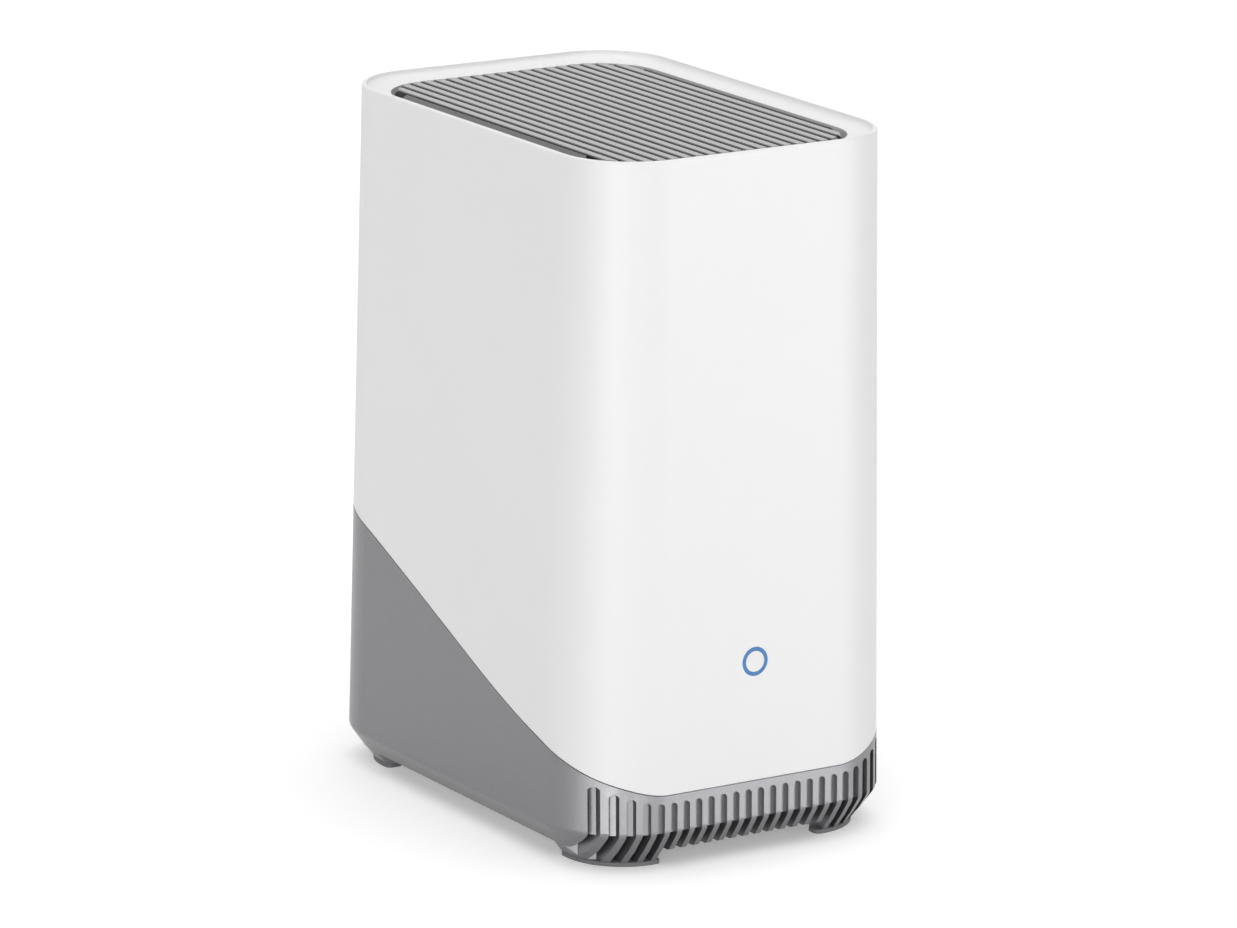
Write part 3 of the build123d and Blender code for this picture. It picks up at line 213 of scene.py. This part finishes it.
# Black epoxy round the chips: its coarser grain scatters the light to a dry black.
moulded_plastic(
    "chip_black", "black_moulded_epoxy", "#151517", roughness=0.60, grain_height=0.03,
)
# Ferrite of the power coils, pressed from powder: the roughest here, like slate.
moulded_plastic(
    "coil_grey", "pressed_ferrite", "#3A3A3C", roughness=0.65, grain_height=0.05,
)
# Nylon of the ribbon sockets and the speaker's plug: a warm ivory with a soft shine.
moulded_plastic("socket_ivory", "ivory_moulded_nylon", "#D9CFB4", roughness=0.45)
# Polyester film of the flat ribbon: the glossiest here, and almost white.
moulded_plastic("ribbon_white", "white_polyester_film", "#E6E4DC", roughness=0.35)
print(len(materials), "moulded plastics")

# %% [markdown]
# ## Silver grey ABS
#
# The base and the grille shine differently from the shell: their front goes
# almost white where it mirrors the lamp, and their side stays a plain mid grey.
# Plain grey plastic can't do that, so this is ABS with fine aluminium flakes mixed
# in before moulding. The flakes show as a speckle in colour and gloss, drawn at
# 0.28 mm where the real ones are about 0.03 mm. The grille takes fewer flakes and
# a smoother skin, so that its crests catch the light and its gaps stay dark.

# %% Plastic with flakes
FLAKE = 0.28 * MM
FLAKE_SHADE = 0.93
FLAKE_GLOSS = 0.05
SKIN_ROUGHNESS = 0.2


def flaked_plastic(slot, real_name, colour, roughness, metallic, coat):
    """Moulded plastic with aluminium flakes and a clear skin over them."""
    material, shader = new_material(real_name)
    place_on = add_node(material, "ShaderNodeTexCoord")
    flakes = add_node(
        material, "ShaderNodeTexVoronoi", [("Vector", place_on, "Object")], Scale=1 / FLAKE,
    )
    speckle = add_node(
        material, "ShaderNodeSeparateColor", [("Color", flakes, "Color")],
    )
    gloss = add_node(
        material, "ShaderNodeMapRange", [("Value", speckle, "Red")],
        To_Min=roughness - FLAKE_GLOSS, To_Max=roughness + FLAKE_GLOSS,
    )
    link(material, gloss, "Result", shader, "Roughness")
    shade = add_node(material, "ShaderNodeMix", [("Factor", speckle, "Green")], data_type="RGBA")
    shade.inputs[MIX_A].default_value = darker(linear(colour), FLAKE_SHADE)
    shade.inputs[MIX_B].default_value = linear(colour)
    link(material, shade, MIX_RESULT, shader, "Base Color")
    shader.inputs["Metallic"].default_value = metallic
    shader.inputs["Coat Weight"].default_value = coat
    shader.inputs["Coat Roughness"].default_value = SKIN_ROUGHNESS
    materials[slot] = material


# Grey ABS of the base, full of flakes: a soft mirror in front, a dull grey elsewhere.
flaked_plastic(
    "grey_base", "grey_abs_with_flakes", "#7F7F81", roughness=0.38, metallic=0.9, coat=0.1,
)
# Darker ABS of the grille, with few flakes: a smooth skin that gleams on the crests.
flaked_plastic(
    "grille_grey", "dark_abs_with_flakes", "#505052", roughness=0.20, metallic=0.30, coat=0.8,
)
print(len(materials), "materials so far")

# %% [markdown]
# ## Rubber, foam, paper and wire
#
# Soft parts are rougher than the shells and take almost no highlight. Moulded
# rubber shows a faint sheen, foam has open cells about 0.6 mm wide, and the
# speaker's cone is pressed paper with short fibres. All share one recipe: a noise
# of the right size for the colour and for the height.

# %% Soft materials
CELL_RAMP = (0.3, 0.7)
CELL_SHADE = 0.82


def soft_material(slot, real_name, colour, roughness, cell, height, sheen=0.0, stretch=1.0):
    """A matt material. Its cells or fibres have a size and height in millimetres."""
    material, shader = new_material(real_name)
    place_on = add_node(material, "ShaderNodeTexCoord")
    mapping = add_node(
        material, "ShaderNodeMapping", [("Vector", place_on, "Object")], Scale=(1, 1, stretch),
    )
    cells = add_node(
        material, "ShaderNodeTexNoise", [("Vector", mapping, "Vector")],
        Scale=1 / (cell * MM), Detail=4.0, Roughness=0.65,
    )
    ramp = add_node(material, "ShaderNodeValToRGB", [("Fac", cells, "Fac")])
    hollow, crest = ramp.color_ramp.elements
    hollow.position, crest.position = CELL_RAMP
    hollow.color, crest.color = darker(linear(colour), CELL_SHADE), linear(colour)
    link(material, ramp, "Color", shader, "Base Color")
    bump = add_node(
        material, "ShaderNodeBump", [("Height", cells, "Fac")],
        Strength=0.5, Distance=height * MM,
    )
    link(material, bump, "Normal", shader, "Normal")
    shader.inputs["Roughness"].default_value = roughness
    shader.inputs["Sheen Weight"].default_value = sheen
    materials[slot] = material


# Moulded rubber of the foot pads: matt, with the faint sheen of a rubbed edge.
soft_material(
    "foot_rubber", "grey_moulded_rubber", "#77777A", roughness=0.72,
    cell=0.4, height=0.02, sheen=0.15,
)
# Filled silicone of the thermal pad: pale blue grey and as matt as chalk.
soft_material(
    "pad_silicone", "filled_silicone", "#8C99A8", roughness=0.70, cell=0.5, height=0.02,
)
# Open foam of the speaker's gasket: its cells swallow nearly all light.
soft_material(
    "gasket_foam", "open_cell_foam", "#1C1C1C", roughness=0.90, cell=0.6, height=0.10,
)
# Paper of the speaker's cone, pressed from pulp: dark, with fibres that run up it.
soft_material(
    "cone_paper", "pressed_paper", "#1F1E1D", roughness=0.85,
    cell=0.8, height=0.06, stretch=0.4,
)
# Extruded PVC round the leads: smoother than the rest, so a lead shows a thin line.
soft_material(
    "wire_black", "black_extruded_pvc", "#141415", roughness=0.50, cell=0.5, height=0.01,
)
print(len(materials), "materials so far")

# %% [markdown]
# ## Metals
#
# Screws and socket shells are zinc or tin plated steel, the heat sink is extruded
# aluminium and the contacts are gold plated. Rolling and extruding leave fine
# lines along one axis, so the noise is stretched along it. A metal keeps the
# default IOR, since its colour says how it reflects.

# %% Metals
# The axes that the lines can run along, by number.
X, Y, Z = 0, 1, 2
LINE_STRETCH = 0.04
LINE_GLOSS = 0.08
LINE_HEIGHT = 0.01 * MM


def worked_metal(slot, real_name, colour, roughness, line, along):
    """A metal with fine lines along one axis, spaced by a line in millimetres."""
    material, shader = new_material(real_name)
    place_on = add_node(material, "ShaderNodeTexCoord")
    stretch = [1.0, 1.0, 1.0]
    stretch[along] = LINE_STRETCH
    mapping = add_node(
        material, "ShaderNodeMapping", [("Vector", place_on, "Object")], Scale=stretch,
    )
    lines = add_node(
        material, "ShaderNodeTexNoise", [("Vector", mapping, "Vector")],
        Scale=1 / (line * MM), Detail=3.0, Roughness=0.6,
    )
    gloss = add_node(
        material, "ShaderNodeMapRange", [("Value", lines, "Fac")],
        To_Min=roughness - LINE_GLOSS, To_Max=roughness + LINE_GLOSS,
    )
    link(material, gloss, "Result", shader, "Roughness")
    bump = add_node(
        material, "ShaderNodeBump", [("Height", lines, "Fac")],
        Strength=0.2, Distance=LINE_HEIGHT,
    )
    link(material, bump, "Normal", shader, "Normal")
    shader.inputs["Base Color"].default_value = linear(colour)
    shader.inputs["Metallic"].default_value = 1.0
    materials[slot] = material


# Tinned steel of the shields, socket shell and power pin: bright, faintly streaked.
worked_metal("shield_steel", "tinned_rolled_steel", "#C9C9C8", roughness=0.34, line=0.30, along=Y)
# Zinc plated screws: a bright grey with soft edges to each reflection.
worked_metal("screw_steel", "zinc_plated_steel", "#B9B9BA", roughness=0.32, line=0.25, along=Z)
# Extruded aluminium of the heat sink: pale, with lines that run along its fins.
worked_metal("sink_aluminium", "extruded_aluminium", "#D2D4D6", roughness=0.38, line=0.30, along=Z)
# Drawn aluminium of the capacitors' cans: the brightest of the greys.
worked_metal("capacitor_can", "drawn_aluminium", "#C4C6C8", roughness=0.30, line=0.20, along=X)
# Gold on the bronze contacts and plugs: the one warm and shiny metal.
worked_metal("contact_gold", "gold_plated_bronze", "#D8B25A", roughness=0.25, line=0.15, along=Y)
# Ferrite of the speaker's magnet, fired from powder: a dark ceramic with a gleam.
worked_metal("magnet_ferrite", "sintered_ferrite", "#4A4A4C", roughness=0.60, line=0.60, along=Z)
print(len(materials), "materials so far")

# %% [markdown]
# ## Circuit boards
#
# A board is glass epoxy under a thin solder mask. The copper under the mask shows
# as slightly raised, slightly paler tracks that run in straight lines. The mortar
# of a brick texture gives such a maze of straight stretches, with tracks 2 mm
# apart, drawn coarser than real ones. The mask itself is smooth and glossy.

# %% Circuit boards
TRACK_PITCH = 2.048 * MM
TRACK_RUN = 10.88 * MM
TRACK_HALF_WIDTH = 0.224 * MM
TRACK_HEIGHT = 0.03 * MM
TRACK_SHADE = 0.85


def circuit_board(slot, real_name, mask, copper):
    """Solder mask over copper tracks."""
    material, shader = new_material(real_name)
    place_on = add_node(material, "ShaderNodeTexCoord")
    # The main board stands square to X, so the pattern is turned to lie in it.
    turned = add_node(
        material, "ShaderNodeMapping", [("Vector", place_on, "Object")],
        Rotation=(0, math.pi / 2, 0),
    )
    tracks = add_node(
        material, "ShaderNodeTexBrick", [("Vector", turned, "Vector")],
        Scale=1 / TRACK_PITCH, Row_Height=1.0, Brick_Width=TRACK_RUN / TRACK_PITCH,
        Mortar_Size=TRACK_HALF_WIDTH / TRACK_PITCH, Mortar_Smooth=0.2,
        Color1=linear(mask), Color2=darker(linear(mask), TRACK_SHADE),
        Mortar=linear(copper),
    )
    link(material, tracks, "Color", shader, "Base Color")
    bump = add_node(
        material, "ShaderNodeBump", [("Height", tracks, "Fac")],
        Strength=0.4, Distance=TRACK_HEIGHT,
    )
    link(material, bump, "Normal", shader, "Normal")
    shader.inputs["Roughness"].default_value = 0.30
    shader.inputs["Coat Weight"].default_value = 0.3
    materials[slot] = material


# Green mask of the main board and the ring's board: glossy, like wet leaves.
circuit_board("board_green", "green_solder_mask", mask="#16512F", copper="#2C7A49")
# Blue mask of the antennas, thin over their copper: the tracks shine through it.
circuit_board("antenna_board", "blue_solder_mask", mask="#123A5C", copper="#B98A4C")
print(len(materials), "materials so far")

# %% [markdown]
# ## The light ring and its lamps
#
# The ring is a light pipe: clear polycarbonate with a little white and blue in
# it, lit from behind by four small lamps. From outside it reads as an even blue
# line, a touch brighter where a lamp stands behind it, so the glow follows a slow
# noise. The glow is weak, because the photograph shows plain blue and no halo.

# %% Light pipe and lamps
GLOW_PATCH = 3 * MM
GLOW_DRIFT = 0.2
LIGHT_PIPE_IOR = 1.58


def glowing(slot, real_name, colour, glow, strength, roughness):
    """A translucent part that is lit from inside."""
    material, shader = new_material(real_name)
    place_on = add_node(material, "ShaderNodeTexCoord")
    patches = add_node(
        material, "ShaderNodeTexNoise", [("Vector", place_on, "Object")],
        Scale=1 / GLOW_PATCH, Detail=1.0,
    )
    level = add_node(
        material, "ShaderNodeMapRange", [("Value", patches, "Fac")],
        To_Min=strength * (1 - GLOW_DRIFT), To_Max=strength * (1 + GLOW_DRIFT),
    )
    link(material, level, "Result", shader, "Emission Strength")
    shader.inputs["Emission Color"].default_value = linear(glow)
    shader.inputs["Base Color"].default_value = linear(colour)
    shader.inputs["Roughness"].default_value = roughness
    shader.inputs["IOR"].default_value = LIGHT_PIPE_IOR
    materials[slot] = material


# Blue polycarbonate of the ring, moulded and lit from behind: an even, quiet blue.
glowing(
    "ring_blue", "lit_blue_polycarbonate", "#2E76B8", glow="#3D85C9",
    strength=0.06, roughness=0.25,
)
# Cast epoxy of the four LEDs behind the ring: pale yellow, lit from within.
glowing(
    "led_white", "lit_cast_epoxy", "#EFEDD8", glow="#9EC4EE",
    strength=0.6, roughness=0.3,
)
print(len(materials), "materials in all")

# %% [markdown]
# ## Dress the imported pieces
#
# The record says which material slot each piece takes, so the same names lead
# from piece to finish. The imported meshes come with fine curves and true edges,
# so nothing about their shape is changed here.

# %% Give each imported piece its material
slot_of = {entry["node"]: entry["material_slot"] for entry in frame["record"]["subparts"]}
for name, piece in frame["nodes"].items():
    piece.data.materials.clear()
    piece.data.materials.append(materials[slot_of[name]])
print(len(frame["nodes"]), "pieces dressed")

# %% [markdown]
# ## The studio
#
# The photograph is a product shot on pure white with a soft shadow close round
# the feet. The floor is a wide sheet of white card, so matt that it shows no gleam
# of the lamps. Where it is seen by the camera, in a reflection or through a clear
# part, a little light of its own lifts it to white, while its shadow stays. That
# light never falls on the object as a lamp's would.

# %% Which rays look at the studio
def seen_directly(owner):
    """A node that gives 1 to a ray of the camera, a reflection or a clear part."""
    rays = add_node(owner, "ShaderNodeLightPath")
    looks = add_node(
        owner, "ShaderNodeMath", [(0, rays, "Is Camera Ray"), (1, rays, "Is Glossy Ray")],
        operation="MAXIMUM",
    )
    return add_node(
        owner, "ShaderNodeMath", [(0, looks, "Value"), (1, rays, "Is Transmission Ray")],
        operation="MAXIMUM",
    )


print("the studio can tell a look from a ray of light")

# %% Floor
FLOOR_HALF = 6.0
FLOOR_GLOW = 0.30
sheet = bmesh.new()
bmesh.ops.create_grid(sheet, x_segments=1, y_segments=1, size=FLOOR_HALF)
floor_mesh = bpy.data.meshes.new("studio_floor")
sheet.to_mesh(floor_mesh)
sheet.free()
floor = bpy.data.objects.new("studio_floor", floor_mesh)
bpy.context.scene.collection.objects.link(floor)
floor_material, floor_shader = new_material("white_card")
floor_shader.inputs["Base Color"].default_value = linear("#F3F3F3")
floor_shader.inputs["Roughness"].default_value = 0.9
floor_shader.inputs["Specular IOR Level"].default_value = 0.1
lift = add_node(
    floor_material, "ShaderNodeMath", [(0, seen_directly(floor_material), "Value")],
    operation="MULTIPLY",
)
lift.inputs[1].default_value = FLOOR_GLOW
link(floor_material, lift, "Value", floor_shader, "Emission Strength")
floor_shader.inputs["Emission Color"].default_value = linear("#FFFFFF")
floor.data.materials.append(floor_material)
print("the floor is", 2 * FLOOR_HALF, "m wide")

# %% [markdown]
# ## Lamps and world
#
# Seven lamps and the world make the picture. A wide light from above keeps the top
# and the floor white. A second one from the camera's left brightens the rounded
# corner. A low soft box in front, to the right, lights the front wall. Four more
# low boxes work as a photographer's gleam cards: only reflections see them, so they
# put the shine on the grey front band and the near corner, and hardly change the
# satin wall. The world fills in the rest evenly, and is plain white behind the
# object.

# %% Lamps
BOX_SIZE = 0.24
BOX_HEIGHT = 0.13
FRONT_PLACE = (1.25, -1.96)


def wide_light(name, direction, spread, strength):
    """A distant light with soft shadows, shining from a direction."""
    data = bpy.data.lights.new(name, "SUN")
    data.angle = math.radians(spread)
    data.energy = strength
    lamp = bpy.data.objects.new(name, data)
    lamp.rotation_euler = Vector(direction).to_track_quat("Z", "Y").to_euler()
    bpy.context.scene.collection.objects.link(lamp)


def soft_box(name, floor_place, power):
    """A low square lamp that looks at the middle of the tower."""
    data = bpy.data.lights.new(name, "AREA")
    data.shape = "SQUARE"
    data.size = BOX_SIZE
    data.energy = power
    lamp = bpy.data.objects.new(name, data)
    lamp.location = (*floor_place, BOX_HEIGHT)
    aim = Vector((0, 0, tall / 2)) - lamp.location
    lamp.rotation_euler = aim.to_track_quat("-Z", "Y").to_euler()
    bpy.context.scene.collection.objects.link(lamp)
    return lamp


wide_light("top_light", (0.10, 0.05, 1.0), spread=80, strength=1.95)
wide_light("corner_light", (-0.78, -0.58, 0.24), spread=36, strength=0.88)
soft_box("front_box", FRONT_PLACE, power=7)
for name, card_place, power in (
    ("front_gleam", FRONT_PLACE, 24),
    ("bend_gleam", (-0.42, -2.29), 18),
    ("corner_gleam", (-1.66, -1.64), 30),
    ("side_gleam", (-2.23, -0.67), 14),
):
    gleam = soft_box(name, card_place, power)
    gleam.visible_diffuse = False
print(len(bpy.data.lights), "lamps")

# %% World
AMBIENT = 0.22
world = bpy.data.worlds.new("studio_air")
bpy.context.scene.world = world
world.use_nodes = True
air = world.node_tree.nodes["Background"]
air.inputs["Color"].default_value = linear("#FFFFFF")
level = add_node(
    world, "ShaderNodeMapRange", [("Value", seen_directly(world), "Value")],
    To_Min=AMBIENT, To_Max=1.0,
)
link(world, level, "Result", air, "Strength")
bpy.context.scene.view_settings.view_transform = "Standard"
print("the world lights at", AMBIENT, "and shows as white")
